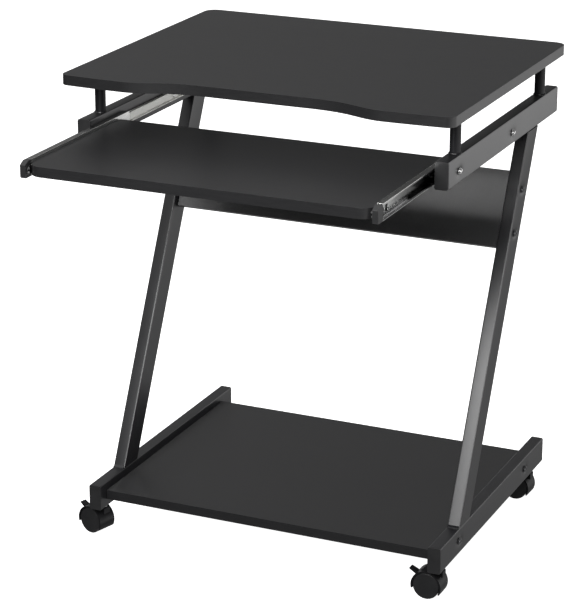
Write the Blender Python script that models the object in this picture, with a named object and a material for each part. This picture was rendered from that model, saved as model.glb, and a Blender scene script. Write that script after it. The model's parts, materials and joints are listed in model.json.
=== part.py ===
"""Computer desk with a sliding keyboard tray, a low shelf and four swivel casters.

Dimensions are millimetres in the desk's own frame: X to the right, Y from the front edge of the
desktop to the back, Z up from the floor.  Every mesh is written in metres about the part origin.
"""
import math

import bmesh
import bpy
from mathutils import Matrix, Vector

for old in list(bpy.data.objects):
    bpy.data.objects.remove(old, do_unlink=True)

# ---------------------------------------------------------------- overall layout
ORIGIN = Vector((-10.500, 166.25, 0.0))   # centre of the footprint in the desk's own frame
HEIGHT = 735.5                           # top of the desktop
GAP = 0.3                                # clearance between neighbouring pieces
SHARP_ANGLE = math.radians(33.0)         # faces meeting at a shallower angle are shaded as one surface

DESK_HALF_WIDTH = 301.5
DESK_BACK = 498.0
BOARD = 15.0                             # chipboard thickness
FRONT_PROFILE = [(0.0, 27.6), (60.0, 27.6), (88.0, 27.8), (110.0, 26.2), (130.0, 22.8), (150.0, 16.6),
                 (170.0, 8.8), (190.0, 4.0), (210.0, 3.6), (235.0, 4.2), (260.0, 5.2), (284.0, 6.6)]
FRONT_END = 7.8                          # front edge carried out to the desktop's sides
FRONT_RADIUS, BACK_RADIUS = 13.0, 18.0   # corners of the desktop

TUBE_W, TUBE_H = 20.0, 40.0              # rectangular tube of rails and legs
TUBE_R, WALL = 2.5, 1.5
RAIL_OUT = 287.0                         # outer face of the side frames
RAIL_IN = RAIL_OUT - TUBE_W
RAIL_MID = RAIL_OUT - TUBE_W / 2.0

UPPER_TOP = HEIGHT - 69.7
UPPER_Y = (29.5, 504.5)
LOWER_TOP = HEIGHT - 647.0
LOWER_Y = (32.0, 495.0)
CAP_PLATE, CAP_PLUG = 3.0, 12.0

RISER_R = 8.0
RISER_Y = (82.0, 446.0)

LEG_SLOPE = 0.4862                       # run per unit of height
LEG_FRONT_AT_TOP = 371.4                 # front face of a leg under the upper rail
LEG_ANGLE = math.atan(LEG_SLOPE)
LEG_RUN = TUBE_H / math.cos(LEG_ANGLE)

SHELF_Y = (50.0, 459.0)
SHELF_TOP = HEIGHT - 659.5
PANEL_TOP, PANEL_BOTTOM = HEIGHT - 167.7, HEIGHT - 273.1
PANEL_DEPTH = 11.5                       # front of the panel behind the front of the leg

TRAY_TOP = HEIGHT - 84.3
TRAY_Y = (-171.5, 103.5)
TRAY_HALF_WIDTH = 257.3
TRAY_CORNER = 22.0

SLIDE_Z = HEIGHT - 91.5
MOVING_Y = (-155.0, 135.0)
FIXED_Y = (50.0, 350.0)
CAGE_Y = (60.0, 128.0)
BUMPER_Y = (-172.0, -155.0)

SLIDE_BOLTS = [(74.0, HEIGHT - 92.7), (297.0, HEIGHT - 92.7)]
SHELF_BOLTS = [(111.0, HEIGHT - 666.4), (406.0, HEIGHT - 666.4)]
PANEL_BOLTS = [HEIGHT - 192.5, HEIGHT - 252.5]
BOLT_DEPTH = 17.5                        # bolts sit this far behind the front of the leg

CASTER_Y = (58.0, 453.0)
TRAIL = 16.1                             # axle offset from the swivel axis
WHEEL_R = 20.4
CASTER_TURN = {"front_left": 164.0, "front_right": 180.0,
               "rear_left": 168.0, "rear_right": 178.0}


# ---------------------------------------------------------------- helpers
def material(name, color, metallic, roughness):
    mat = bpy.data.materials.new(name)
    mat.use_nodes = True
    shader = mat.node_tree.nodes["Principled BSDF"]
    shader.inputs["Base Color"].default_value = (*color, 1.0)
    shader.inputs["Metallic"].default_value = metallic
    shader.inputs["Roughness"].default_value = roughness
    return mat


FINISH = {
    "board": ((0.045, 0.045, 0.050), 0.0, 0.45),
    "frame": ((0.030, 0.030, 0.033), 0.35, 0.40),
    "plastic": ((0.022, 0.022, 0.024), 0.0, 0.50),
    "zinc": ((0.62, 0.62, 0.60), 1.0, 0.32),
    "steel": ((0.45, 0.45, 0.46), 1.0, 0.30),
    "black_bolt": ((0.025, 0.025, 0.027), 0.6, 0.38),
}


def publish(name, bm, finish, origin=(0.0, 0.0, 0.0), hidden=False):
    """Turn a bmesh written in desk millimetres into an object whose origin is given."""
    base = Vector(origin)
    bmesh.ops.remove_doubles(bm, verts=bm.verts, dist=1e-4)
    bmesh.ops.recalc_face_normals(bm, faces=bm.faces)
    for vert in bm.verts:
        vert.co = (vert.co - base) * 0.001
    mesh = bpy.data.meshes.new(name)
    bm.to_mesh(mesh)
    bm.free()
    obj = bpy.data.objects.new(name, mesh)
    obj.location = (base - ORIGIN) * 0.001
    bpy.context.scene.collection.objects.link(obj)
    if hidden:
        obj.hide_render = True
        obj.display_type = "WIRE"
    else:
        color, metallic, roughness = FINISH[finish]
        mesh.materials.append(material("mat_" + name, color, metallic, roughness))
    return obj


def boolean(obj, tool, operation="DIFFERENCE"):
    mod = obj.modifiers.new(operation.lower(), "BOOLEAN")
    mod.operation = operation
    mod.solver = "EXACT"
    mod.object = tool


def add_prism(bm, loop, to_point, start, end):
    """Prism of a 2D loop; to_point(u, v, w) gives the 3D point."""
    low = [bm.verts.new(to_point(u, v, start)) for u, v in loop]
    high = [bm.verts.new(to_point(u, v, end)) for u, v in loop]
    bm.faces.new(low)
    bm.faces.new(list(reversed(high)))
    count = len(loop)
    for i in range(count):
        j = (i + 1) % count
        bm.faces.new((low[i], high[i], high[j], low[j]))


def add_tube(bm, outer, inner, to_point, start, end):
    """Hollow prism between two loops with the same number of points."""
    rings = []
    for loop in (outer, inner):
        for w in (start, end):
            rings.append([bm.verts.new(to_point(u, v, w)) for u, v in loop])
    out_a, out_b, in_a, in_b = rings
    count = len(outer)
    for i in range(count):
        j = (i + 1) % count
        bm.faces.new((out_a[i], out_b[i], out_b[j], out_a[j]))
        bm.faces.new((in_a[j], in_b[j], in_b[i], in_a[i]))
        bm.faces.new((out_a[j], in_a[j], in_a[i], out_a[i]))
        bm.faces.new((out_b[i], in_b[i], in_b[j], out_b[j]))


def rounded(points, radii, steps=4):
    """Round the corners of a polygon; one radius per point."""
    result = []
    count = len(points)
    for i in range(count):
        here = Vector(points[i])
        before = (Vector(points[i - 1]) - here).normalized()
        after = (Vector(points[(i + 1) % count]) - here).normalized()
        radius = radii[i]
        if radius <= 0.0:
            result.append((here.x, here.y))
            continue
        half = before.angle(after) / 2.0
        reach = radius / math.tan(half)
        centre = here + (before + after).normalized() * (radius / math.sin(half))
        first = here + before * reach - centre
        last = here + after * reach - centre
        sweep = first.angle_signed(last)
        for k in range(steps + 1):
            turn = -sweep * k / steps
            cos_t, sin_t = math.cos(turn), math.sin(turn)
            spoke = Vector((first.x * cos_t - first.y * sin_t, first.x * sin_t + first.y * cos_t))
            result.append((centre.x + spoke.x, centre.y + spoke.y))
    return result


def rect(u0, u1, v0, v1, radius=0.0, steps=2):
    corners = [(u0, v0), (u1, v0), (u1, v1), (u0, v1)]
    if radius <= 0.0:
        return corners
    return rounded(corners, [radius] * 4, steps)


def along_y(u, v, w):
    return Vector((u, w, v))


def along_x(u, v, w):
    return Vector((w, u, v))


def along_z(u, v, w):
    return Vector((u, v, w))


def add_lathe(bm, profile, base, axis, segments):
    """Closed turned body: profile of (distance along axis, radius) about an axis."""
    axis = Vector(axis).normalized()
    turn = axis.to_track_quat("Z", "Y").to_matrix()
    base = Vector(base)
    rings = []
    for height, radius in profile:
        if radius < 1e-6:
            rings.append([bm.verts.new(base + turn @ Vector((0.0, 0.0, height)))])
            continue
        ring = []
        for k in range(segments):
            phi = 2.0 * math.pi * k / segments
            local = Vector((radius * math.cos(phi), radius * math.sin(phi), height))
            ring.append(bm.verts.new(base + turn @ local))
        rings.append(ring)
    for low, high in zip(rings, rings[1:]):
        for k in range(segments):
            n = (k + 1) % segments
            if len(low) == 1:
                bm.faces.new((low[0], high[n], high[k]))
            elif len(high) == 1:
                bm.faces.new((low[k], low[n], high[0]))
            else:
                bm.faces.new((low[k], low[n], high[n], high[k]))


def hole_tool(name, holes, segments=12):
    """One hidden cutter made of cylinders: (base, axis, length, radius)."""
    bm = bmesh.new()
    for base, axis, length, radius in holes:
        add_lathe(bm, [(0, 0), (0, radius), (length, radius), (length, 0)], base, axis, segments)
    return publish(name, bm, None, hidden=True)


SIDES = (("left", -1.0), ("right", 1.0))
ENDS = ("front", "rear")


def side_loop(loop, side):
    """Mirror a cross section written for the right side."""
    if side > 0:
        return loop
    return [(-u, v) for u, v in reversed(loop)]


# ---------------------------------------------------------------- boards
def through_points(points, steps):
    """Smooth curve through the points, with this many spans between neighbours."""
    first = 2.0 * Vector(points[0]) - Vector(points[1])
    last = 2.0 * Vector(points[-1]) - Vector(points[-2])
    knots = [first] + [Vector(point) for point in points] + [last]
    curve = []
    for a, b, c, d in zip(knots, knots[1:], knots[2:], knots[3:]):
        for k in range(steps):
            t = k / steps
            spot = (2.0 * b + (c - a) * t + (2.0 * a - 5.0 * b + 4.0 * c - d) * t * t
                    + (3.0 * b - a - 3.0 * c + d) * t ** 3) * 0.5
            curve.append((spot.x, spot.y))
    curve.append(tuple(points[-1]))
    return curve


def desktop_outline():
    half = DESK_HALF_WIDTH
    right = through_points(FRONT_PROFILE, 3)
    front = [(-x, y) for x, y in reversed(right[1:])] + right
    outline = [(-half, FRONT_END)] + front + [(half, FRONT_END), (half, DESK_BACK), (-half, DESK_BACK)]
    radii = [FRONT_RADIUS] + [0.0] * len(front) + [FRONT_RADIUS, BACK_RADIUS, BACK_RADIUS]
    return rounded(outline, radii, 6)


def build_boards():
    bm = bmesh.new()
    add_prism(bm, desktop_outline(), along_z, HEIGHT - BOARD, HEIGHT)
    publish("desktop", bm, "board")

    half = RAIL_IN - GAP
    bm = bmesh.new()
    add_prism(bm, rect(-half, half, *SHELF_Y), along_z, SHELF_TOP - BOARD, SHELF_TOP)
    shelf = publish("bottom_shelf", bm, "board")
    bores = [((side * (half - 16.0), y, z), (side, 0, 0), 20.0, 2.6)
             for _, side in SIDES for y, z in SHELF_BOLTS]
    boolean(shelf, hole_tool("cut_shelf", bores))

    bm = bmesh.new()
    tray_loop = rounded([(-TRAY_HALF_WIDTH, TRAY_Y[0]), (TRAY_HALF_WIDTH, TRAY_Y[0]),
                         (TRAY_HALF_WIDTH, TRAY_Y[1]), (-TRAY_HALF_WIDTH, TRAY_Y[1])],
                        [TRAY_CORNER, TRAY_CORNER, 3.0, 3.0], 6)
    add_prism(bm, tray_loop, along_z, TRAY_TOP - BOARD, TRAY_TOP)
    publish("keyboard_tray", bm, "board")

    build_back_panel(half)


def leg_front(z):
    """Y of the front face of a leg at height z."""
    return LEG_FRONT_AT_TOP + (z - (UPPER_TOP - TUBE_H)) * LEG_SLOPE


def in_leg_plane(depth, z):
    """Point (y, z) this deep behind the front face, measured square to the leg."""
    foot_y = leg_front(z)
    return (foot_y + depth * math.cos(LEG_ANGLE), z - depth * math.sin(LEG_ANGLE))


def build_back_panel(half):
    front_top = in_leg_plane(PANEL_DEPTH, PANEL_TOP + PANEL_DEPTH * math.sin(LEG_ANGLE))
    front_bottom = in_leg_plane(PANEL_DEPTH, PANEL_BOTTOM + PANEL_DEPTH * math.sin(LEG_ANGLE))
    shift = (BOARD * math.cos(LEG_ANGLE), -BOARD * math.sin(LEG_ANGLE))
    loop = [front_bottom, (front_bottom[0] + shift[0], front_bottom[1] + shift[1]),
            (front_top[0] + shift[0], front_top[1] + shift[1]), front_top]
    bm = bmesh.new()
    add_prism(bm, loop, along_x, -half, half)
    panel = publish("back_panel", bm, "board")
    bores = []
    for _, side in SIDES:
        for z in PANEL_BOLTS:
            y = panel_bolt_y(z)
            bores.append(((side * (half - 16.0), y, z), (side, 0, 0), 20.0, 2.6))
    boolean(panel, hole_tool("cut_panel", bores))


def panel_bolt_y(z):
    return leg_front(z) + BOLT_DEPTH


# ---------------------------------------------------------------- side frames
def tube_loops(u0, u1, v0, v1):
    outer = rect(u0, u1, v0, v1, TUBE_R)
    inner = rect(u0 + WALL, u1 - WALL, v0 + WALL, v1 - WALL, TUBE_R - WALL)
    return outer, inner


def build_rail(name, side, top, span, tool):
    u0, u1 = sorted((side * RAIL_IN, side * RAIL_OUT))
    outer, inner = tube_loops(u0, u1, top - TUBE_H, top)
    bm = bmesh.new()
    add_tube(bm, outer, inner, along_y, span[0] + CAP_PLATE, span[1] - CAP_PLATE)
    rail = publish(name, bm, "frame")
    boolean(rail, tool)


def build_rail_caps(level, label, side, top, span):
    u0, u1 = sorted((side * RAIL_IN, side * RAIL_OUT))
    lip = WALL + GAP
    plate = rect(u0, u1, top - TUBE_H, top, TUBE_R)
    plug = rect(u0 + lip, u1 - lip, top - TUBE_H + lip, top - lip, 0.7)
    for end, sign, y in zip(ENDS, (1.0, -1.0), span):
        face = y + sign * (CAP_PLATE - GAP)
        tip = y + sign * (CAP_PLATE + CAP_PLUG)
        bm = bmesh.new()
        add_stepped_plug(bm, plate, plug, y, face, tip)
        publish(f"{level}_cap_{end}_{label}", bm, "plastic")


def add_stepped_plug(bm, plate, plug, y0, y1, y2):
    """End cap: a plate from y0 to y1 and a smaller plug from y1 to y2."""
    rings = []
    for loop, y in ((plate, y0), (plate, y1), (plug, y1), (plug, y2)):
        rings.append([bm.verts.new(along_y(u, v, y)) for u, v in loop])
    bm.faces.new(rings[0])
    bm.faces.new(list(reversed(rings[-1])))
    count = len(plate)
    for low, high in zip(rings, rings[1:]):
        for i in range(count):
            j = (i + 1) % count
            bm.faces.new((low[i], high[i], high[j], low[j]))


def build_leg(label, side):
    u0, u1 = sorted((side * RAIL_IN, side * RAIL_OUT))
    outer, inner = tube_loops(u0, u1, 0.0, LEG_RUN)

    def slanted(u, v, w):
        return Vector((u, leg_front(w) + v, w))

    bm = bmesh.new()
    add_tube(bm, outer, inner, slanted, LOWER_TOP + GAP, UPPER_TOP - TUBE_H - GAP)
    leg = publish(f"leg_{label}", bm, "frame")
    holes = [((side * (RAIL_IN - 5.0), panel_bolt_y(z), z), (side, 0, 0), 40.0, 2.6)
             for z in PANEL_BOLTS]
    boolean(leg, hole_tool(f"cut_leg_{label}", holes))


def build_riser(name, side, y):
    bm = bmesh.new()
    steps = 28
    outer, inner = [], []
    for k in range(steps):
        phi = 2.0 * math.pi * k / steps
        outer.append((side * RAIL_MID + RISER_R * math.cos(phi), y + RISER_R * math.sin(phi)))
        inner.append((side * RAIL_MID + (RISER_R - WALL) * math.cos(phi),
                      y + (RISER_R - WALL) * math.sin(phi)))
    add_tube(bm, outer, inner, along_z, UPPER_TOP + GAP, HEIGHT - BOARD - GAP)
    publish(name, bm, "frame")


def build_frames():
    for label, side in SIDES:
        start = side * (RAIL_IN - 5.0)
        through = [((start, y, z), (side, 0, 0), 40.0, 2.6) for y, z in SLIDE_BOLTS]
        build_rail(f"upper_rail_{label}", side, UPPER_TOP, UPPER_Y,
                   hole_tool(f"cut_upper_{label}", through))
        through = [((start, y, z), (side, 0, 0), 40.0, 2.6) for y, z in SHELF_BOLTS]
        stems = [((side * RAIL_MID, y, LOWER_TOP - TUBE_H - 5.0), (0, 0, 1), 12.0, 4.3)
                 for y in CASTER_Y]
        build_rail(f"lower_rail_{label}", side, LOWER_TOP, LOWER_Y,
                   hole_tool(f"cut_lower_{label}", through + stems))
        build_rail_caps("upper", label, side, UPPER_TOP, UPPER_Y)
        build_rail_caps("lower", label, side, LOWER_TOP, LOWER_Y)
        build_leg(label, side)
        for end, y in zip(ENDS, RISER_Y):
            build_riser(f"riser_{end}_{label}", side, y)


# ---------------------------------------------------------------- tray slides
WEB_IN, WEB_OUT = 257.6, 258.8           # web of the moving channel
LIP_END = 266.2
FIXED_WEB = (265.4, 266.7)
FIXED_LIP = 261.2


def moving_profile():
    top, lip, turn = 12.0, 10.9, 8.6
    inner_end = LIP_END - 1.0
    upper = [(WEB_OUT, lip), (inner_end, lip), (inner_end, turn), (LIP_END, turn),
             (LIP_END, top), (WEB_IN, top)]
    lower = [(u, -v) for u, v in reversed(upper)]
    return [(u, v + SLIDE_Z) for u, v in lower + upper]


def fixed_profile():
    top, lip = 7.5, 6.3
    upper = [(FIXED_WEB[0], lip), (FIXED_LIP, lip), (FIXED_LIP, top), (FIXED_WEB[1], top)]
    lower = [(u, -v) for u, v in reversed(upper)]
    return [(u, v + SLIDE_Z) for u, v in lower + upper]


def cage_profile():
    top, lip, end = 9.6, 8.8, 264.4
    upper = [(260.2, lip), (end, lip), (end, top), (259.5, top)]
    lower = [(u, -v) for u, v in reversed(upper)]
    return [(u, v + SLIDE_Z) for u, v in lower + upper]


def build_slides():
    for label, side in SIDES:
        bm = bmesh.new()
        add_prism(bm, side_loop(moving_profile(), side), along_y, *MOVING_Y)
        channel = publish(f"slide_channel_{label}", bm, "zinc")
        bm = bmesh.new()
        slot = rect(-130.0, -120.0, SLIDE_Z - 6.5, SLIDE_Z + 6.5, 2.0)
        ends = sorted((side * (WEB_IN - 1.0), side * (WEB_OUT + 1.0)))
        add_prism(bm, slot, along_x, *ends)
        round_hole = rect(92.5, 97.5, SLIDE_Z - 2.5, SLIDE_Z + 2.5, 2.4, 3)
        add_prism(bm, round_hole, along_x, *ends)
        boolean(channel, publish(f"cut_channel_{label}", bm, None, hidden=True))

        bm = bmesh.new()
        add_prism(bm, side_loop(fixed_profile(), side), along_y, *FIXED_Y)
        member = publish(f"slide_rail_{label}", bm, "zinc")
        holes = [((side * 262.0, y, z), (side, 0, 0), 6.0, 2.3) for y, z in SLIDE_BOLTS]
        boolean(member, hole_tool(f"cut_member_{label}", holes))

        bm = bmesh.new()
        add_prism(bm, side_loop(cage_profile(), side), along_y, *CAGE_Y)
        cage = publish(f"ball_cage_{label}", bm, "steel")
        bm = bmesh.new()
        for y in (70.0, 94.0, 118.0):
            for level in (-9.2, 9.2):
                place = Matrix.Translation((side * 262.4, y, SLIDE_Z + level))
                bmesh.ops.create_icosphere(bm, subdivisions=1, radius=1.5, matrix=place)
        boolean(cage, publish(f"balls_{label}", bm, None, hidden=True), "UNION")

        build_bumper(label, side)


def build_bumper(label, side):
    """Plastic end piece in front of the moving channel, with a tongue inside it."""
    low, high = SLIDE_Z - 12.0, SLIDE_Z + 12.0
    front, back = BUMPER_Y
    back -= GAP
    side_view = [(front, low + 1.5), (front + 1.5, low), (back, low), (back, high),
                 (front + 9.0, high), (front, high - 5.0)]
    bm = bmesh.new()
    add_prism(bm, side_view, along_x, *sorted((side * WEB_IN, side * (LIP_END + 0.2))))
    bumper = publish(f"slide_bumper_{label}", bm, "plastic")
    bm = bmesh.new()
    tongue = rect(back - 1.0, back + 8.0, SLIDE_Z - 5.0, SLIDE_Z + 5.0)
    ends = sorted((side * (WEB_OUT + GAP), side * (LIP_END - 1.5)))
    add_prism(bm, tongue, along_x, *ends)
    boolean(bumper, publish(f"tongue_{label}", bm, None, hidden=True), "UNION")


# ---------------------------------------------------------------- fasteners
def build_fasteners():
    for label, side in SIDES:
        axis = (side, 0.0, 0.0)
        face = side * RAIL_OUT
        for index, (y, z) in enumerate(SLIDE_BOLTS, 1):
            reach = RAIL_OUT - FIXED_WEB[0]
            profile = [(-reach - 1.5, 0.0), (-reach - 1.5, 3.2), (-reach - GAP, 4.2),
                       (-reach - GAP, 1.9), (GAP, 1.9), (GAP, 5.0), (0.9, 5.0), (0.9, 4.4),
                       (3.4, 4.1), (4.4, 2.2), (4.4, 0.0)]
            bm = bmesh.new()
            add_lathe(bm, profile, (face, y, z), axis, 10)
            publish(f"slide_bolt_{index}_{label}", bm, "steel")
        spots = [("shelf_bolt", y, z) for y, z in SHELF_BOLTS]
        spots += [("panel_bolt", panel_bolt_y(z), z) for z in PANEL_BOLTS]
        for index, (kind, y, z) in enumerate(spots):
            depth = TUBE_W + GAP + 14.0
            profile = [(-depth, 0.0), (-depth, 2.0), (GAP, 2.0), (GAP, 5.2), (1.6, 5.0),
                       (2.6, 4.0), (2.6, 0.0)]
            bm = bmesh.new()
            add_lathe(bm, profile, (face, y, z), axis, 12)
            publish(f"{kind}_{index % 2 + 1}_{label}", bm, "black_bolt")


# ---------------------------------------------------------------- casters
HOOD_HALF = 15.6                         # half width over the two rims of the hood
HOOD_OUTER, HOOD_INNER = 23.5, 21.2      # radii of the rims about the axle
RIM_ENDS = (-15.0, 208.0)                # degrees from the trailing side over the top
WHEEL_INNER, WHEEL_OUTER = 2.9, 15.2     # wheel faces from the caster's middle plane
BOSS_TOP, BOSS_HALF = 44.4, 6.4
STEM_R, STEM_FOOT = 4.0, 39.4
LEVER_PIVOT = (33.9, 34.3)               # along the trail, above the floor
LEVER_HALF = 5.0


def caster_point(place, turn_deg):
    """Map (trail, height, across) of a caster to desk millimetres."""
    turn = math.radians(turn_deg)
    trail_dir = Vector((math.cos(turn), math.sin(turn), 0.0))
    across_dir = Vector((-math.sin(turn), math.cos(turn), 0.0))
    base = Vector((place[0], place[1], 0.0))

    def convert(trail, height, across):
        return base + trail_dir * trail + across_dir * across + Vector((0.0, 0.0, height))

    return convert, across_dir


def about_axle(radius, first, last, steps):
    """Arc round the axle as (trail, height), angles in degrees from the trailing side."""
    points = []
    for k in range(steps + 1):
        phi = math.radians(first + (last - first) * k / steps)
        points.append((TRAIL + radius * math.cos(phi), WHEEL_R + radius * math.sin(phi)))
    return points


def hood_side_view():
    """Rim of the hood seen along the axle."""
    first, last = RIM_ENDS
    return about_axle(HOOD_OUTER, first, last, 40) + about_axle(HOOD_INNER, last, first, 40)


def boss_side_view():
    """Block on top of the rims that holds the stem."""
    loop = about_axle(22.3, 47.0, 137.0, 14)
    loop += [(-7.0, 34.5), (-7.0, BOSS_TOP - 1.4), (-5.6, BOSS_TOP), (22.0, BOSS_TOP),
             (25.4, 43.2), (31.3, 37.4)]
    return loop


def build_caster(label, place, turn_deg, braked):
    convert, across = caster_point(place, turn_deg)
    swivel = (place[0], place[1], 44.0)
    axle = convert(TRAIL, WHEEL_R, 0.0)

    bm = bmesh.new()
    add_prism(bm, hood_side_view(), convert, -HOOD_HALF, HOOD_HALF)
    housing = publish(f"caster_hood_{label}", bm, "plastic", swivel)
    bm = bmesh.new()
    web = about_axle(11.0, 20.0, -200.0, 18) + about_axle(22.3, 140.0, 58.0, 6)
    add_prism(bm, web, convert, -2.3, 2.3)
    boolean(housing, publish(f"web_{label}", bm, None, hidden=True), "UNION")
    bm = bmesh.new()
    add_prism(bm, boss_side_view(), convert, -BOSS_HALF, BOSS_HALF)
    boolean(housing, publish(f"boss_{label}", bm, None, hidden=True), "UNION")
    bm = bmesh.new()
    add_lathe(bm, [(-12.0, 0.0), (-12.0, 3.3), (12.0, 3.3), (12.0, 0.0)], axle, across, 16)
    boolean(housing, publish(f"axle_{label}", bm, None, hidden=True), "UNION")
    bm = bmesh.new()
    bore = STEM_R + 0.1
    floor = STEM_FOOT - 0.4
    add_lathe(bm, [(0.0, 0.0), (0.0, bore), (12.0, bore), (12.0, 0.0)],
              convert(0.0, floor, 0.0), (0, 0, 1), 16)
    if braked:
        notch = [(31.6, 31.0), (35.5, 27.5), (46.0, 27.5), (46.0, 50.0), (31.6, 50.0)]
        add_prism(bm, notch, convert, -LEVER_HALF - 0.5, LEVER_HALF + 0.5)
    boolean(housing, publish(f"cut_hood_{label}", bm, None, hidden=True))

    bm = bmesh.new()
    under = LOWER_TOP - TUBE_H - GAP
    collar = BOSS_TOP + GAP
    profile = [(STEM_FOOT, 0.0), (STEM_FOOT, STEM_R), (collar, STEM_R), (collar, 6.0),
               (under, 6.0), (under, STEM_R), (64.0, STEM_R), (65.0, 3.2), (65.0, 0.0)]
    add_lathe(bm, profile, (place[0], place[1], 0.0), (0, 0, 1), 12)
    publish(f"caster_stem_{label}", bm, "steel")

    wheel = [(WHEEL_INNER, 3.4), (WHEEL_INNER, WHEEL_R - 1.4), (WHEEL_INNER + 1.2, WHEEL_R - 0.2),
             (WHEEL_INNER + 2.4, WHEEL_R), (WHEEL_OUTER - 1.8, WHEEL_R),
             (WHEEL_OUTER - 0.5, WHEEL_R - 0.4), (WHEEL_OUTER, WHEEL_R - 1.2), (WHEEL_OUTER, 0.0)]
    bore = [(12.6, 0.0), (12.6, 3.4)]
    for name, sign in (("inner", 1.0), ("outer", -1.0)):
        bm = bmesh.new()
        add_lathe(bm, bore + wheel, axle, across * sign, 36)
        publish(f"caster_wheel_{name}_{label}", bm, "plastic", axle)

    if braked:
        build_lever(label, convert)


def build_lever(label, convert):
    """Brake pedal: a barrel in the hood's notch with an arm reaching out over the trail."""
    pivot = Vector(LEVER_PIVOT)
    arm = [(37.0, 33.4), (45.5, 39.0), (45.9, 40.4), (44.4, 41.5), (34.9, 37.2)]
    barrel = []
    for k in range(7):
        phi = math.radians(110.0 + 180.0 * k / 6.0)
        barrel.append((pivot.x + 1.8 * math.cos(phi), pivot.y + 1.8 * math.sin(phi)))
    bm = bmesh.new()
    add_prism(bm, barrel + arm, convert, -LEVER_HALF, LEVER_HALF)
    publish(f"caster_brake_{label}", bm, "plastic", convert(pivot.x, pivot.y, 0.0))


def build_casters():
    for label, side in SIDES:
        for end, y in zip(ENDS, CASTER_Y):
            name = f"{end}_{label}"
            build_caster(name, (side * RAIL_MID, y), CASTER_TURN[name], end == "front")


def shade_pieces():
    """Shade the finished solids smooth, with a sharp edge wherever two faces meet steeply."""
    graph = bpy.context.evaluated_depsgraph_get()
    pieces = [obj for obj in bpy.context.scene.objects if not obj.hide_render]
    solids = [bpy.data.meshes.new_from_object(obj.evaluated_get(graph)) for obj in pieces]
    for obj, solid in zip(pieces, solids):
        solid.name = obj.name
        solid.shade_smooth()
        solid.set_sharp_from_angle(angle=SHARP_ANGLE)
        obj.modifiers.clear()
        obj.data = solid


build_boards()
build_frames()
build_slides()
build_fasteners()
build_casters()
shade_pieces()
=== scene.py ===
"""Looks of the computer desk: finishes, small details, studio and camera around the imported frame.

Positions are written in the desk's own millimetres, as in the CAD: X to the right, Y from the
front edge of the desktop to the back, Z up from the floor.
"""
import json
import math

import bmesh
import bpy
from mathutils import Matrix, Vector

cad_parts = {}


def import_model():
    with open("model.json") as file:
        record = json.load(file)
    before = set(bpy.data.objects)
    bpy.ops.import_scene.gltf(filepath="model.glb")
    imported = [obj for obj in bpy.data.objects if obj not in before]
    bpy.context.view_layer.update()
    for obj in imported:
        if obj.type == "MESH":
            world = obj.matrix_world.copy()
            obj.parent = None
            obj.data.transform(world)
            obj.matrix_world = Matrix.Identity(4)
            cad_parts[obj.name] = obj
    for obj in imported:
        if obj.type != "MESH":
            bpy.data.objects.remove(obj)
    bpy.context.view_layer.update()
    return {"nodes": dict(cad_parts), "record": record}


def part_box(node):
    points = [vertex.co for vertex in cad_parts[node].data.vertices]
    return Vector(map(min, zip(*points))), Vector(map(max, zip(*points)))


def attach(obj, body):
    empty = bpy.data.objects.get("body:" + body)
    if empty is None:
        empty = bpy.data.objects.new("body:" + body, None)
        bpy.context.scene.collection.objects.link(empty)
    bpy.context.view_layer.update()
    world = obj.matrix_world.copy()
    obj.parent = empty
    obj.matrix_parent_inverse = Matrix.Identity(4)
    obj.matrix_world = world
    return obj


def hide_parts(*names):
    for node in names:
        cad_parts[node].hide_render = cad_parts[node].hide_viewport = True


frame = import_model()

ORIGIN = Vector((-10.5, 166.25, 0.0))
HEIGHT = 735.5
UPPER_TOP = HEIGHT - 69.7
LOWER_TOP = HEIGHT - 647.0
RAIL_IN, RAIL_OUT = 267.0, 287.0           # inner and outer faces of a side frame
RAIL_MID = (RAIL_IN + RAIL_OUT) / 2.0
SLIDE_Z = HEIGHT - 91.5
SLIDE_BOLTS = [(74.0, HEIGHT - 92.7), (297.0, HEIGHT - 92.7)]
RISER_Y = (82.0, 446.0)
RISER_RADIUS = 8.0
NODES = frame["nodes"]
SLOTS = {row["node"]: row["material_slot"] for row in frame["record"]["subparts"]}
SIDES = (("left", -1.0), ("right", 1.0))


def world(x, y, z):
    """Desk millimetres to scene metres."""
    return (Vector((x, y, z)) - ORIGIN) * 0.001


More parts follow.
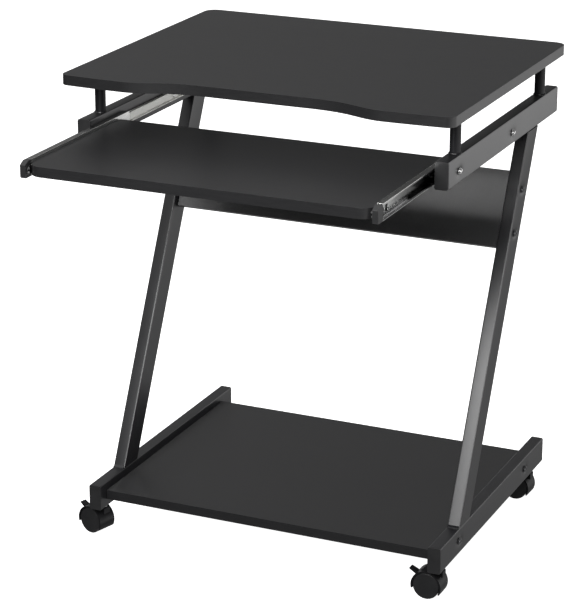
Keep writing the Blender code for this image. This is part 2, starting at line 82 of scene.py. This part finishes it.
# ---------------------------------------------------------------- node helpers
class Graph:
    """Short spelling for building one node tree."""

    def __init__(self, tree):
        self.tree = tree
        self.nodes = tree.nodes
        self.links = tree.links

    def add(self, kind, **settings):
        node = self.nodes.new(kind)
        for key, value in settings.items():
            setattr(node, key, value)
        return node

    def feed(self, socket, value):
        if isinstance(value, bpy.types.NodeSocket):
            self.links.new(value, socket)
        else:
            socket.default_value = value

    def math(self, operation, a, b=0.0):
        node = self.add("ShaderNodeMath", operation=operation)
        self.feed(node.inputs[0], a)
        self.feed(node.inputs[1], b)
        return node.outputs[0]

    def place(self, scale=(1.0, 1.0, 1.0)):
        """Object-space position, stretched by a factor for each axis."""
        coords = self.add("ShaderNodeTexCoord")
        mapping = self.add("ShaderNodeMapping")
        mapping.inputs["Scale"].default_value = scale
        self.links.new(coords.outputs["Object"], mapping.inputs["Vector"])
        return mapping.outputs["Vector"]

    def desk_axis(self, axis):
        """One object-space coordinate in desk millimetres."""
        coords = self.add("ShaderNodeTexCoord")
        split = self.add("ShaderNodeSeparateXYZ")
        self.links.new(coords.outputs["Object"], split.inputs[0])
        return self.math("ADD", self.math("MULTIPLY", split.outputs[axis], 1000.0), ORIGIN[axis])

    def span(self, value, start, end):
        """Nought before start, one after end, straight between them."""
        node = self.add("ShaderNodeMapRange", clamp=True)
        self.feed(node.inputs["Value"], value)
        node.inputs["From Min"].default_value = start
        node.inputs["From Max"].default_value = end
        return node.outputs["Result"]

    def noise(self, vector, scale, detail=3.0, roughness=0.55):
        node = self.add("ShaderNodeTexNoise")
        self.links.new(vector, node.inputs["Vector"])
        node.inputs["Scale"].default_value = scale
        node.inputs["Detail"].default_value = detail
        node.inputs["Roughness"].default_value = roughness
        return node.outputs["Fac"]

    def ramp(self, fac, stops):
        """Colour or grey against a value, straight between the stops."""
        node = self.add("ShaderNodeValToRGB")
        ramp = node.color_ramp
        ramp.elements[0].position = stops[0][0]
        ramp.elements[1].position = stops[-1][0]
        for position, _ in stops[1:-1]:
            ramp.elements.new(position)
        for element, (_, value) in zip(ramp.elements, stops):
            color = value if isinstance(value, tuple) else (value, value, value)
            element.color = (*color, 1.0)
        self.links.new(fac, node.inputs["Fac"])
        return node.outputs["Color"]

    def mix(self, fac, a, b):
        node = self.add("ShaderNodeMix", data_type="RGBA")
        self.feed(node.inputs[0], fac)
        self.feed(node.inputs[6], a if isinstance(a, bpy.types.NodeSocket) else (*a, 1.0))
        self.feed(node.inputs[7], b if isinstance(b, bpy.types.NodeSocket) else (*b, 1.0))
        return node.outputs[2]

    def bump(self, height, strength, distance):
        node = self.add("ShaderNodeBump")
        node.inputs["Strength"].default_value = strength
        node.inputs["Distance"].default_value = distance
        self.links.new(height, node.inputs["Height"])
        return node.outputs["Normal"]


def new_material(name):
    mat = bpy.data.materials.new(name)
    mat.use_nodes = True
    graph = Graph(mat.node_tree)
    shader = mat.node_tree.nodes["Principled BSDF"]
    return mat, graph, shader


# ---------------------------------------------------------------- finishes
BOARD_ROUGHNESS = 0.30
DENT_REACH_Y, DENT_REACH_Z = 10.0, 7.0     # spread of the dent round a bolt
DENT_DEPTH = 0.0022
RACE_HALF, RACE_X = 10.95, 258.2           # the slide's race: half its height, and its face
RACE_SHADE_Y = (-160.0, 40.0)                  # painted shade: the race's colour darkens from its front to here
LOW_LIP_DROP = 6.5                            # below this drop under the slide's middle the race is painted dark, as painted shade on the lower lip
# Colour of the painted shade in a slide's race.
RACE_SHADE = (0.015, 0.015, 0.017)


def board_finish(name, grain_axis, relief_strength=0.25, fineness=9.0, relief_depth=0.00006):
    """Black melamine board: a faint pressed grain along one axis and a satin surface."""
    mat, g, shader = new_material(name)
    stretch = [90.0, 90.0, 90.0]
    stretch[grain_axis] = 5.0
    grain = g.noise(g.place(tuple(stretch)), fineness, 4.0, 0.6)
    pores = g.noise(g.place(), 1500.0, 2.0)
    clouds = g.noise(g.place(), 3.5, 2.0)
    tint = g.ramp(grain, [(0.30, (0.0150, 0.0150, 0.0160)), (0.70, (0.0205, 0.0205, 0.0215))])
    g.links.new(tint, shader.inputs["Base Color"])
    rough = g.math("MULTIPLY", grain, 0.08)
    rough = g.math("ADD", rough, g.math("MULTIPLY", clouds, 0.05))
    g.links.new(g.math("ADD", rough, BOARD_ROUGHNESS), shader.inputs["Roughness"])
    relief = g.math("ADD", g.math("MULTIPLY", grain, 0.6), g.math("MULTIPLY", pores, 0.4))
    g.links.new(g.bump(relief, relief_strength, relief_depth), shader.inputs["Normal"])
    shader.inputs["IOR"].default_value = 1.5
    return mat


def paint_finish(name, dents=(), index=1.55):
    """Satin black powder coat with a fine orange peel, dented where bolts pull the tube in."""
    mat, g, shader = new_material(name)
    peel = g.noise(g.place(), 700.0, 3.0)
    broad = g.noise(g.place(), 14.0, 2.0)
    tint = g.ramp(broad, [(0.3, (0.0150, 0.0150, 0.0165)), (0.7, (0.0195, 0.0195, 0.0215))])
    g.links.new(tint, shader.inputs["Base Color"])
    rough = g.math("ADD", g.math("MULTIPLY", broad, 0.06), 0.27)
    g.links.new(rough, shader.inputs["Roughness"])
    surface = g.bump(peel, 0.18, 0.00010)
    if dents:
        depth = 0.0
        for y, z in dents:
            away_y = g.math("DIVIDE", g.math("SUBTRACT", g.desk_axis(1), y), DENT_REACH_Y)
            away_z = g.math("DIVIDE", g.math("SUBTRACT", g.desk_axis(2), z), DENT_REACH_Z)
            square = g.math("ADD", g.math("MULTIPLY", away_y, away_y),
                            g.math("MULTIPLY", away_z, away_z))
            spread = g.math("MULTIPLY", square, -1.0)
            depth = g.math("ADD", g.math("EXPONENT", spread), depth)
        dent = g.add("ShaderNodeBump", invert=True)
        dent.inputs["Strength"].default_value = 1.0
        dent.inputs["Distance"].default_value = DENT_DEPTH
        g.links.new(depth, dent.inputs["Height"])
        g.links.new(surface, dent.inputs["Normal"])
        surface = dent.outputs["Normal"]
    g.links.new(surface, shader.inputs["Normal"])
    shader.inputs["IOR"].default_value = index
    return mat


def plastic_finish(name, dark, light, roughness, index=1.5):
    """Moulded plastic with a fine spark-eroded texture."""
    mat, g, shader = new_material(name)
    spark = g.noise(g.place(), 1800.0, 2.0)
    broad = g.noise(g.place(), 40.0, 2.0)
    tint = g.ramp(broad, [(0.3, dark), (0.7, light)])
    g.links.new(tint, shader.inputs["Base Color"])
    rough = g.math("ADD", g.math("MULTIPLY", spark, 0.10), roughness - 0.05)
    g.links.new(rough, shader.inputs["Roughness"])
    g.links.new(g.bump(spark, 0.22, 0.00008), shader.inputs["Normal"])
    shader.inputs["IOR"].default_value = index
    return mat


def metal_finish(name, dark, light, roughness, streak_axis=1, metallic=1.0, shade_race=False):
    """Plated steel with rolling streaks along one axis, and painted shade in a slide's race."""
    mat, g, shader = new_material(name)
    stretch = [260.0, 260.0, 260.0]
    stretch[streak_axis] = 6.0
    streaks = g.noise(g.place(tuple(stretch)), 4.0, 3.0)
    stains = g.noise(g.place(), 55.0, 3.0)
    tint = g.mix(g.ramp(stains, [(0.35, 0.0), (0.70, 1.0)]), dark, light)
    if shade_race:
        # Painted shade in the race: darker from the front towards the back, and dark on the lower lip
        # below the slide's middle.
        height = g.math("ABSOLUTE", g.math("SUBTRACT", g.desk_axis(2), SLIDE_Z))
        race = g.math("MULTIPLY", g.math("LESS_THAN", height, RACE_HALF),
                      g.math("GREATER_THAN", g.math("ABSOLUTE", g.desk_axis(0)), RACE_X))
        along = g.span(g.desk_axis(1), *RACE_SHADE_Y)
        race_darkening = g.ramp(along, [(0.0, 0.0), (0.20, 0.0), (0.34, 0.50), (0.55, 0.80), (0.80, 0.95)])
        low_lip_shade = g.math("LESS_THAN", g.desk_axis(2), SLIDE_Z - LOW_LIP_DROP)
        race_darkening = g.math("MAXIMUM", race_darkening, g.math("MULTIPLY", low_lip_shade, 0.94))
        tint = g.mix(g.math("MULTIPLY", race, race_darkening), tint, RACE_SHADE)
    g.links.new(tint, shader.inputs["Base Color"])
    shader.inputs["Metallic"].default_value = metallic
    rough = g.math("ADD", g.math("MULTIPLY", streaks, 0.16), roughness - 0.08)
    g.links.new(rough, shader.inputs["Roughness"])
    g.links.new(g.bump(streaks, 0.15, 0.00005), shader.inputs["Normal"])
    return mat


FINISHES = {
    "board": board_finish("board_finish", 0),
    "frame_paint": paint_finish("paint_finish"),
    "cap_plastic": plastic_finish("cap_finish", (0.018, 0.018, 0.019), (0.026, 0.026, 0.027), 0.42),
    # The zinc carries painted shade in the slide's race.
    "slide_zinc": metal_finish("zinc_finish", (0.70, 0.71, 0.70), (0.86, 0.86, 0.84), 0.20, shade_race=True),
    "cage_steel": metal_finish("cage_finish", (0.30, 0.30, 0.30), (0.42, 0.42, 0.42), 0.30),
    "bright_steel": metal_finish("bright_finish", (0.62, 0.62, 0.62), (0.78, 0.78, 0.77), 0.24, 0),
    "black_bolt": metal_finish("black_bolt_finish", (0.09, 0.09, 0.095), (0.15, 0.15, 0.155), 0.28, 0),
    "caster_plastic": plastic_finish("caster_finish", (0.010, 0.010, 0.011), (0.015, 0.015, 0.016),
                                     0.36, 1.25),
    "wheel_plastic": plastic_finish("wheel_finish", (0.012, 0.012, 0.013), (0.018, 0.018, 0.019),
                                    0.44),
}


def smooth_group(limit):
    """Geometry nodes that shade smooth and keep edges sharper than the limit."""
    tree = bpy.data.node_groups.new("smooth_by_angle", "GeometryNodeTree")
    tree.interface.new_socket("Geometry", in_out="INPUT", socket_type="NodeSocketGeometry")
    tree.interface.new_socket("Geometry", in_out="OUTPUT", socket_type="NodeSocketGeometry")
    g = Graph(tree)
    start = g.add("NodeGroupInput")
    end = g.add("NodeGroupOutput")
    angle = g.add("GeometryNodeInputMeshEdgeAngle")
    faces = g.add("GeometryNodeSetShadeSmooth", domain="FACE")
    edges = g.add("GeometryNodeSetShadeSmooth", domain="EDGE")
    soft = g.math("LESS_THAN", angle.outputs["Unsigned Angle"], limit)
    g.links.new(start.outputs[0], faces.inputs["Geometry"])
    g.links.new(faces.outputs[0], edges.inputs["Geometry"])
    g.links.new(soft, edges.inputs["Shade Smooth"])
    g.links.new(edges.outputs[0], end.inputs[0])
    return tree


SOFT_EDGES = smooth_group(math.radians(33.0))


def finish_edges(obj, radius, weld=False):
    """Small edge radius, then smooth shading over shallow angles."""
    if weld:
        join = obj.modifiers.new("weld", "WELD")
        join.merge_threshold = 0.00001
    if radius > 0.0:
        bevel = obj.modifiers.new("edge", "BEVEL")
        bevel.width = radius
        bevel.segments = 2
        bevel.limit_method = "ANGLE"
        bevel.angle_limit = math.radians(35.0)
    soft = obj.modifiers.new("soft", "NODES")
    soft.node_group = SOFT_EDGES
    flats = obj.modifiers.new("flats", "WEIGHTED_NORMAL")
    flats.weight = 90
    flats.keep_sharp = True


# Edge radius of each slot, in metres.
EDGE_RADIUS = {"board": 0.0004, "frame_paint": 0.0, "cap_plastic": 0.0006, "slide_zinc": 0.00035,
               "cage_steel": 0.0, "bright_steel": 0.0003, "black_bolt": 0.0003,
               "caster_plastic": 0.0006, "wheel_plastic": 0.0005}


# ---------------------------------------------------------------- which node wears which finish
def bolt_spots(kind):
    """Y and Z of a kind of bolt, in desk millimetres, read from the right-hand side."""
    spots = []
    for index in (1, 2):
        low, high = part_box(f"{kind}_{index}_right")
        spots.append(tuple((low[axis] + high[axis]) * 500.0 + ORIGIN[axis] for axis in (1, 2)))
    return spots


RAIL_FINISH = paint_finish("dented_paint", SLIDE_BOLTS)
LOW_RAIL_FINISH = paint_finish("low_rail_paint", bolt_spots("shelf_bolt"))
LEG_FINISH = paint_finish("leg_paint", bolt_spots("panel_bolt"))
# Painted reflection: a near-white, non-metallic copy of the zinc for the fixed slide members, so that
# their colour gives the brightness of a lamp's reflection.
MEMBER_SHEEN_FINISH = metal_finish("member_sheen_finish", (0.90, 0.90, 0.86), (0.97, 0.97, 0.93), 0.40,
                             metallic=0.0)
RISER_FINISH = paint_finish("riser_paint", index=1.25)
SPECIAL = {"back_panel": board_finish("panel_finish", 2, relief_strength=1.0, fineness=5.0,
                                      relief_depth=0.0002)}
for label, _ in SIDES:
    SPECIAL[f"upper_rail_{label}"] = RAIL_FINISH
    SPECIAL[f"lower_rail_{label}"] = LOW_RAIL_FINISH
    SPECIAL[f"leg_{label}"] = LEG_FINISH
    SPECIAL[f"slide_rail_{label}"] = MEMBER_SHEEN_FINISH
    SPECIAL[f"riser_front_{label}"] = RISER_FINISH
    SPECIAL[f"riser_rear_{label}"] = RISER_FINISH


def dress_frame():
    """Give every CAD node the finish of its slot and a small edge radius."""
    for name, obj in NODES.items():
        slot = SLOTS[name]
        obj.data.materials.clear()
        obj.data.materials.append(SPECIAL.get(name, FINISHES[slot]))
        if "custom_normal" in obj.data.attributes:
            obj.data.attributes.remove(obj.data.attributes["custom_normal"])
        finish_edges(obj, EDGE_RADIUS[slot], weld=True)


# ---------------------------------------------------------------- small details
def add_piece(name, bm, finish, body, edge=0.0):
    """Mesh written in desk millimetres, as a scene object riding on a body."""
    bmesh.ops.recalc_face_normals(bm, faces=bm.faces)
    for vert in bm.verts:
        vert.co = (vert.co - ORIGIN) * 0.001
    mesh = bpy.data.meshes.new(name)
    bm.to_mesh(mesh)
    bm.free()
    mesh.materials.append(finish)
    obj = bpy.data.objects.new(name, mesh)
    bpy.context.scene.collection.objects.link(obj)
    finish_edges(obj, edge)
    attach(obj, body)
    return obj


def add_rings(bm, rings, close_ends=True):
    """Skin over rings that all have the same number of points."""
    loops = [[bm.verts.new(point) for point in ring] for ring in rings]
    count = len(loops[0])
    for low, high in zip(loops, loops[1:]):
        for i in range(count):
            j = (i + 1) % count
            bm.faces.new((low[i], low[j], high[j], high[i]))
    if close_ends:
        bm.faces.new(list(reversed(loops[0])))
        bm.faces.new(loops[-1])


def cross_recess(u, v):
    """Depth of a cross-head recess at (u, v) from the middle of the head."""
    arm = 2.3 - 0.25 * min(abs(u), abs(v))
    width = 0.62
    inside = min(abs(u), abs(v)) < width and max(abs(u), abs(v)) < arm
    return 1.5 * (1.0 - math.hypot(u, v) / 3.4) if inside else 0.0


def socket_recess(u, v):
    """Depth of a hexagon socket at (u, v) from the middle of the head."""
    turn = math.radians(30.0)
    flats = [abs(u * math.cos(k * 2.0 * turn) + v * math.sin(k * 2.0 * turn)) for k in range(3)]
    return 1.5 if max(flats) < 1.75 else 0.0


def add_bolt(name, place, side, shaft, crown, recess, slot, node):
    """Bolt along X: turned shaft rings, then a crown sampled finely enough for its recess."""
    spokes = 60
    rim = shaft[-1][1]
    steps = 14
    rings = list(shaft)
    for k in range(1, steps):
        radius = rim * (1.0 - k / steps)
        rings.append((crown(radius / rim), radius))
    bm = bmesh.new()
    loops = []
    for height, radius in rings:
        loop = []
        for i in range(spokes):
            phi = 2.0 * math.pi * i / spokes
            u, v = radius * math.cos(phi), radius * math.sin(phi)
            dip = recess(u, v) if len(loops) >= len(shaft) else 0.0
            loop.append(Vector((place[0] + side * (height - dip), place[1] + u, place[2] + v)))
        loops.append(loop)
    add_rings(bm, loops)
    piece = add_piece(name, bm, FINISHES[slot], "frame")
    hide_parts(node)


# A bolt's turned outline: distance out from the rail's outer face, and radius.
PAN_SHAFT = [(-23.1, 1.2), (-23.1, 3.2), (-22.6, 3.9), (-21.9, 4.2), (-21.9, 1.9), (0.1, 1.9),
             (0.1, 4.9), (0.4, 5.0), (0.9, 4.8), (1.0, 4.1), (2.2, 4.1), (3.0, 3.75), (3.7, 3.2)]
BUTTON_SHAFT = [(-34.3, 1.0), (-34.3, 2.0), (0.1, 2.0), (0.1, 4.9), (0.5, 5.15), (1.1, 5.0),
                (1.9, 4.4), (2.4, 3.4)]


def pan_crown(share):
    """Height of a pan head at a share of its rim's radius."""
    return 3.7 + 0.7 * (1.0 - share * share)


def button_crown(share):
    """Height of a button head at a share of its rim's radius."""
    return 2.4 + 0.2 * (1.0 - share * share)


def build_bolts():
    """Slide bolts with cross heads, shelf and panel bolts with socket heads."""
    for label, side in SIDES:
        face = side * RAIL_OUT
        for index, (y, z) in enumerate(SLIDE_BOLTS, 1):
            add_bolt(f"pan_head_{index}_{label}", (face, y, z), side, PAN_SHAFT, pan_crown,
                     cross_recess, "bright_steel", f"slide_bolt_{index}_{label}")
        for kind in ("shelf_bolt", "panel_bolt"):
            for index, (y, z) in enumerate(bolt_spots(kind), 1):
                add_bolt(f"button_head_{kind}_{index}_{label}", (face, y, z), side, BUTTON_SHAFT,
                         button_crown, socket_recess, "black_bolt", f"{kind}_{index}_{label}")


# Fillet seen from the side: Y, and height above the lower rail.
FOOT_WELD = [(106.8, 0.1), (107.6, 1.0), (109.4, 2.3), (111.9, 3.4), (110.2, 0.1)]
FOOT_WELD_INSET = 1.5


def build_foot_welds():
    """Weld fillet between the front of each leg and the lower rail."""
    steps = 40
    width = RAIL_OUT - RAIL_IN - 2.0 * FOOT_WELD_INSET
    for label, side in SIDES:
        bm = bmesh.new()
        rings = []
        for k in range(steps + 1):
            x = RAIL_IN + FOOT_WELD_INSET + width * k / steps
            ripple = 0.35 * math.sin(k * 1.9)
            rings.append([Vector((side * x, y - (ripple if z < 2.0 else 0.0), LOWER_TOP + z))
                          for y, z in FOOT_WELD])
        add_rings(bm, rings)
        add_piece(f"foot_weld_{label}", bm, FINISHES["frame_paint"], "frame")


WELD_GAP = 0.3                             # the gap between a riser and its rail


def build_weld_beads():
    """Rippled weld round the foot of each riser."""
    spokes, around = 72, 8
    for label, side in SIDES:
        for end, y in zip(("front", "rear"), RISER_Y):
            bm = bmesh.new()
            loops = []
            for i in range(spokes):
                phi = 2.0 * math.pi * i / spokes
                size = 1.15 + 0.22 * math.sin(phi * 17.0) + 0.12 * math.sin(phi * 5.0 + 1.0)
                ring = []
                for k in range(around):
                    psi = 2.0 * math.pi * k / around
                    radius = RISER_RADIUS + WELD_GAP + size * math.cos(psi)
                    ring.append(Vector((side * RAIL_MID + radius * math.cos(phi),
                                        y + radius * math.sin(phi),
                                        UPPER_TOP + WELD_GAP + size * math.sin(psi))))
                loops.append(ring)
            add_rings(bm, loops + [loops[0]], close_ends=False)
            bmesh.ops.remove_doubles(bm, verts=bm.verts, dist=1e-4)
            add_piece(f"weld_{end}_{label}", bm, FINISHES["frame_paint"], "frame")


# Tab at the front of a channel: its outline as Y and height over the slide's middle, its two
# faces in X, and its screws as a height each and rings of (X, radius).
TAB_OUTLINE = [(-168.5, -7.0), (-152.0, -7.0), (-152.0, 5.0), (-163.0, 5.0), (-168.5, 1.0)]
TAB_FACES = (256.2, 257.4)
SCREW_Y, SCREW_HEIGHTS = -165.2, (-4.2, 1.6)
SCREW_RINGS = [(256.3, 1.9), (255.2, 1.85), (254.6, 1.4), (254.4, 0.7)]


def build_tray_tabs():
    """Steel tab and two screws at the front of each channel, where the slide is fixed to the tray."""
    spokes = 24
    for label, side in SIDES:
        bm = bmesh.new()
        add_rings(bm, [[Vector((side * x, y, SLIDE_Z + z)) for y, z in TAB_OUTLINE] for x in TAB_FACES])
        add_piece(f"tray_tab_{label}", bm, FINISHES["cage_steel"], "tray", 0.0002)
        for index, z in enumerate(SCREW_HEIGHTS, 1):
            bm = bmesh.new()
            loops = []
            for x, radius in SCREW_RINGS:
                angles = [2.0 * math.pi * i / spokes for i in range(spokes)]
                loops.append([Vector((side * x, SCREW_Y + radius * math.cos(angle),
                                      SLIDE_Z + z + radius * math.sin(angle)))
                              for angle in angles])
            add_rings(bm, loops)
            add_piece(f"tray_screw_{index}_{label}", bm, FINISHES["cage_steel"], "tray")


# ---------------------------------------------------------------- studio
SKY = ("back", "front", "right", "left")
# Each bank of light on the dome: the sides it is on, its brightness, and the elevations in degrees
# where it starts, is full, is still full and has ended.
BANKS = {
    "floor_bounce": (SKY, 0.65, (-90, -90, -90, -26)),
    "back_floor_glow": (("back",), 0.29, (-60, -24, -22, -15)),
    "left_floor_glow": (("left",), 0.20, (-60, -34, -34, -22)),
    "low_bank": (("right",), 2.40, (-23, -16, -10, 9)),
    "horizon_strip": (("back",), 1.35, (-16, 0, 0, 10)),
    "front_card": (("front",), 0.45, (17, 25, 25, 36)),
    "left_bank": (("left",), 0.33, (12, 24, 57, 90)),
    "left_ceiling": (("left",), 0.78, (12, 24, 90, 90)),
    "back_ceiling": (("back",), 0.80, (25, 48, 90, 90)),
    "dim_ceiling": (("front", "right"), 0.78, (42, 90, 90, 90)),
}


def bank_light(g, height, brightness, elevations):
    """Brightness of one bank against the sine of the elevation."""
    start, full, until, end = (math.sin(math.radians(angle)) for angle in elevations)
    light = brightness
    if full > start:
        light = g.math("MULTIPLY", g.span(height, start, full), light)
    if end > until:
        light = g.math("MULTIPLY", g.span(height, end, until), light)
    return light


def build_world():
    """A studio dome: banks of light on its four sides, blended round the compass."""
    dome = bpy.data.worlds.new("studio")
    dome.use_nodes = True
    g = Graph(dome.node_tree)
    background = g.nodes["Background"]
    coords = g.add("ShaderNodeTexCoord")
    split = g.add("ShaderNodeSeparateXYZ")
    g.links.new(coords.outputs["Generated"], split.inputs[0])
    x, y, height = split.outputs
    sides = dict.fromkeys(SKY, 0.0)
    for on_sides, brightness, elevations in BANKS.values():
        light = bank_light(g, height, brightness, elevations)
        for side in on_sides:
            sides[side] = g.math("ADD", sides[side], light)
    x2 = g.math("MULTIPLY", x, x)
    y2 = g.math("MULTIPLY", y, y)
    across = g.math("DIVIDE", x2, g.math("MAXIMUM", g.math("ADD", x2, y2), 1e-6))
    lateral = g.mix(g.math("GREATER_THAN", x, 0.0), sides["left"], sides["right"])
    depth = g.mix(g.math("GREATER_THAN", y, 0.0), sides["front"], sides["back"])
    g.links.new(g.mix(across, depth, lateral), background.inputs["Color"])
    bpy.context.scene.world = dome


def add_panel_light(name, place, aim, size, power):
    data = bpy.data.lights.new(name, "AREA")
    data.shape = "RECTANGLE"
    data.size, data.size_y = size
    data.energy = power
    light = bpy.data.objects.new(name, data)
    light.location = world(*place)
    direction = world(*aim) - light.location
    light.rotation_euler = direction.to_track_quat("-Z", "Y").to_euler()
    light.visible_camera = False
    bpy.context.scene.collection.objects.link(light)
    return light


def light_only(light, names):
    """Keep a lamp's light to some of the nodes, as a flag in front of it would."""
    lit = bpy.data.collections.new(light.name + "_lit")
    for name in names:
        lit.objects.link(NODES[name])
    light.light_linking.receiver_collection = lit


FLOOR_RADIUS, FLOOR_DROP = 16.0, 0.0004    # metres


def build_floor():
    """Pale glowing disc, seen by the camera only, so that it stays even and casts nothing back."""
    bm = bmesh.new()
    rings = 8
    sides = 48
    centre = bm.verts.new((0.0, 0.0, 0.0))
    previous = [centre] * sides
    for k in range(1, rings + 1):
        radius = FLOOR_RADIUS * (k / rings) ** 2
        angles = [2.0 * math.pi * i / sides for i in range(sides)]
        ring = [bm.verts.new((radius * math.cos(a), radius * math.sin(a), 0.0)) for a in angles]
        for i in range(sides):
            j = (i + 1) % sides
            inner = [centre] if k == 1 else [previous[j], previous[i]]
            bm.faces.new([ring[i], ring[j], *inner])
        previous = ring
    mesh = bpy.data.meshes.new("studio_floor")
    bm.to_mesh(mesh)
    bm.free()
    floor = bpy.data.objects.new("studio_floor", mesh)
    floor.location.z = -FLOOR_DROP
    bpy.context.scene.collection.objects.link(floor)
    mat, g, shader = new_material("floor_finish")
    shade = g.noise(g.place(), 0.8, 2.0)
    tint = g.ramp(shade, [(0.3, 0.93), (0.7, 0.95)])
    g.links.new(tint, shader.inputs["Base Color"])
    shader.inputs["Roughness"].default_value = 0.9
    shader.inputs["Specular IOR Level"].default_value = 0.1
    shader.inputs["Emission Color"].default_value = (1.0, 1.0, 1.0, 1.0)
    shader.inputs["Emission Strength"].default_value = 1.05
    mesh.materials.append(mat)
    floor.visible_diffuse = False
    floor.visible_glossy = False
    floor.visible_shadow = False


# Each softbox: where it stands and what it is aimed at in desk millimetres, its size in metres,
# its power in watts, and the nodes it is flagged to (none for the whole desk).
SOFTBOXES = {
    "key_softbox": ((-200, -1700, 1500), (0, 150, 350), (1.0, 1.0), 26.0, None),
    "fill_softbox": ((700, -1700, 1500), (0, 150, 350), (1.0, 1.0), 16.0, None),
    "edge_softbox": ((900, 2300, 1475), (0, 150, 480), (0.4, 0.3), 9.0,
                     [name for name in NODES if SLOTS[name] != "board"]),
    "side_softbox": ((866, 1740, 170), (287, 470, 650), (0.8, 0.5), 0.8,
                     ["desktop", "upper_rail_right"]),
    "panel_softbox": ((-545, -1700, 1640), (266, 385, 560), (0.35, 0.5), 33.0, ["back_panel"]),
}


def build_studio():
    build_world()
    for name, (place, aim, size, power, lit) in SOFTBOXES.items():
        light = add_panel_light(name, place, aim, size, power)
        if lit:
            light_only(light, lit)
    build_floor()
    view = bpy.context.scene.view_settings
    view.view_transform = "Standard"
    view.look = "None"


CAMERA_PLACE = (1372.68, -2913.04, HEIGHT + 812.27)
CAMERA_TURN = (24.0228, -18.8784, 0.0444)  # degrees of yaw, pitch and roll
CAMERA_LENS, CAMERA_SENSOR = 146.876, 36.0
CAMERA_SHIFT = (-0.00593, -0.01016)


def build_camera():
    data = bpy.data.cameras.new("camera")
    data.sensor_fit = "HORIZONTAL"
    data.sensor_width = CAMERA_SENSOR
    data.lens = CAMERA_LENS
    data.shift_x, data.shift_y = CAMERA_SHIFT
    camera = bpy.data.objects.new("camera", data)
    camera.location = world(*CAMERA_PLACE)
    yaw, pitch, roll = (math.radians(angle) for angle in CAMERA_TURN)
    turn = (Matrix.Rotation(yaw, 3, "Z") @ Matrix.Rotation(math.pi / 2 + pitch, 3, "X")
            @ Matrix.Rotation(roll, 3, "Z"))
    camera.rotation_euler = turn.to_euler()
    bpy.context.scene.collection.objects.link(camera)
    bpy.context.scene.camera = camera


dress_frame()
build_bolts()
build_foot_welds()
build_weld_beads()
build_tray_tabs()
build_studio()
build_camera()
